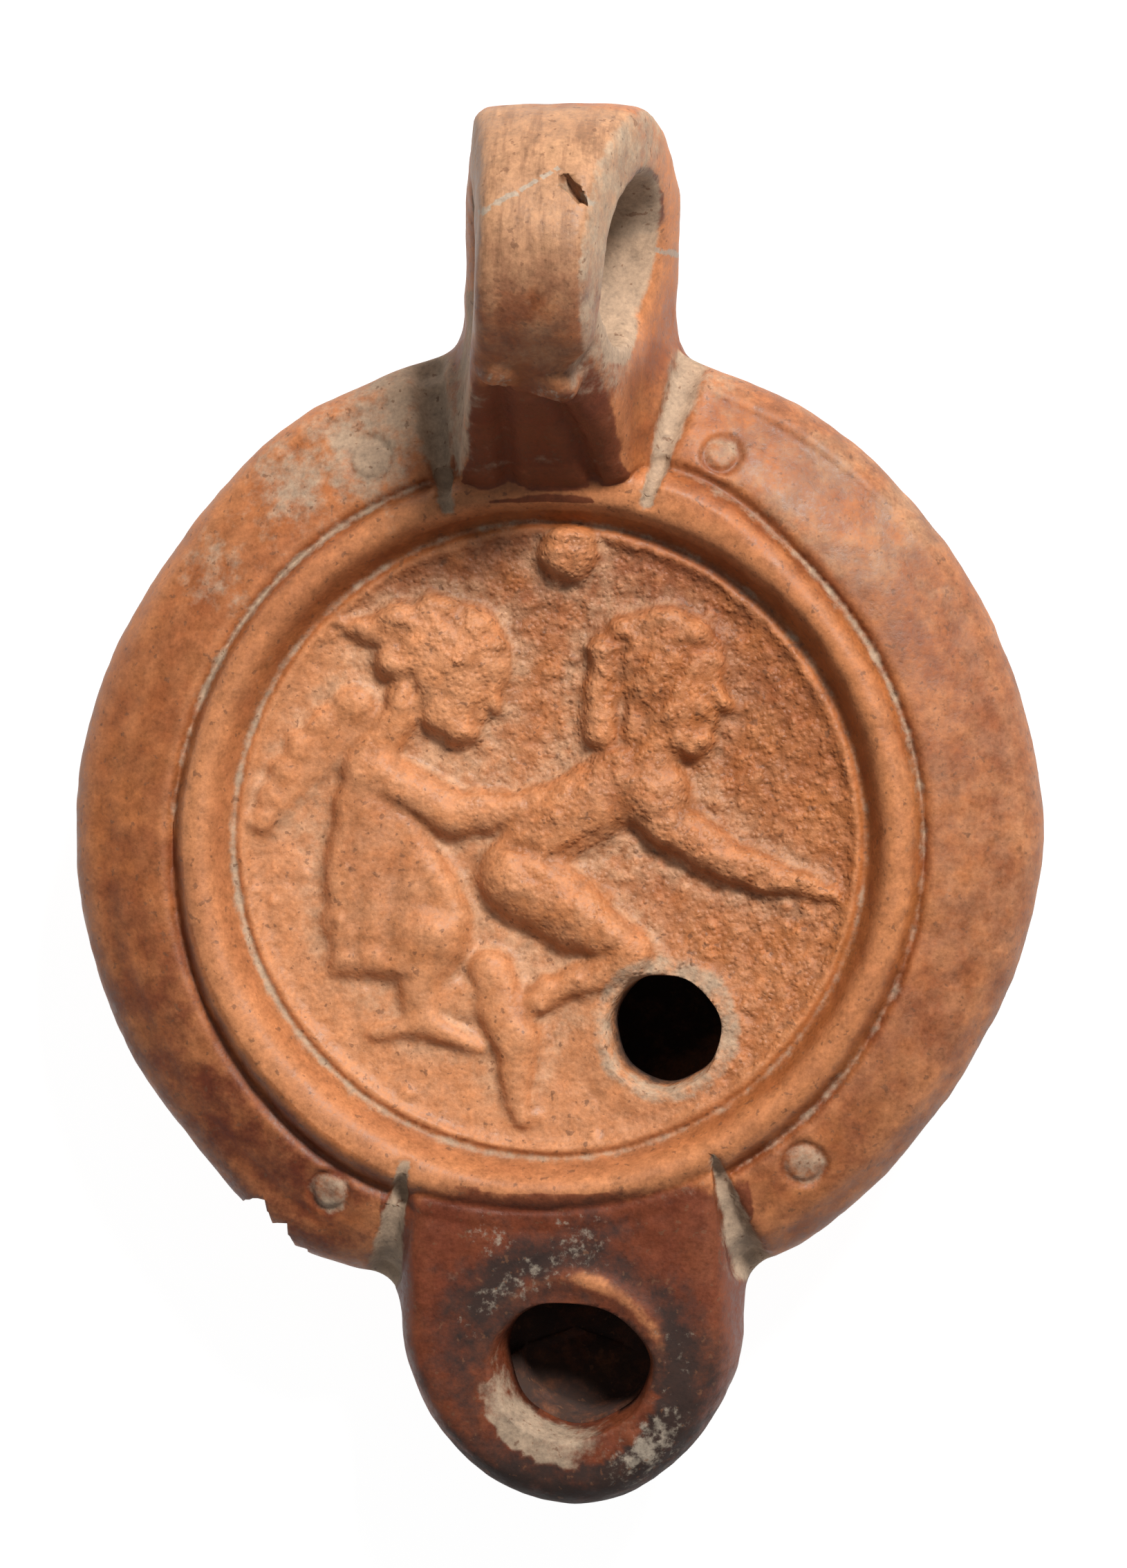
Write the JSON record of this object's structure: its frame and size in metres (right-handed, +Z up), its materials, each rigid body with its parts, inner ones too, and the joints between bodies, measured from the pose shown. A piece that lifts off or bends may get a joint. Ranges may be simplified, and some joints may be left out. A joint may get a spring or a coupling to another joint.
{
  "type": "oil lamp",
  "caption": "Round mould-made terracotta oil lamp with a sunken figured discus, a rounded nozzle with a wick hole and a pierced ring handle.",
  "frame": {"origin": "centre of the flat base, at the level the lamp stands on", "axes": "+Z up, +Y towards the handle, -Y towards the nozzle, +X to the right seen from above with the handle at the top"},
  "size_m": [0.0766, 0.1087, 0.0444],
  "materials": {
    "terracotta": "Fired orange-brown clay with a thin worn slip, matt to slightly satin, with pale dirt in the hollows and soot round the wick hole."
  },
  "bodies": {
    "root": {"lamp_body": "terracotta"}
  },
  "joints": []
}
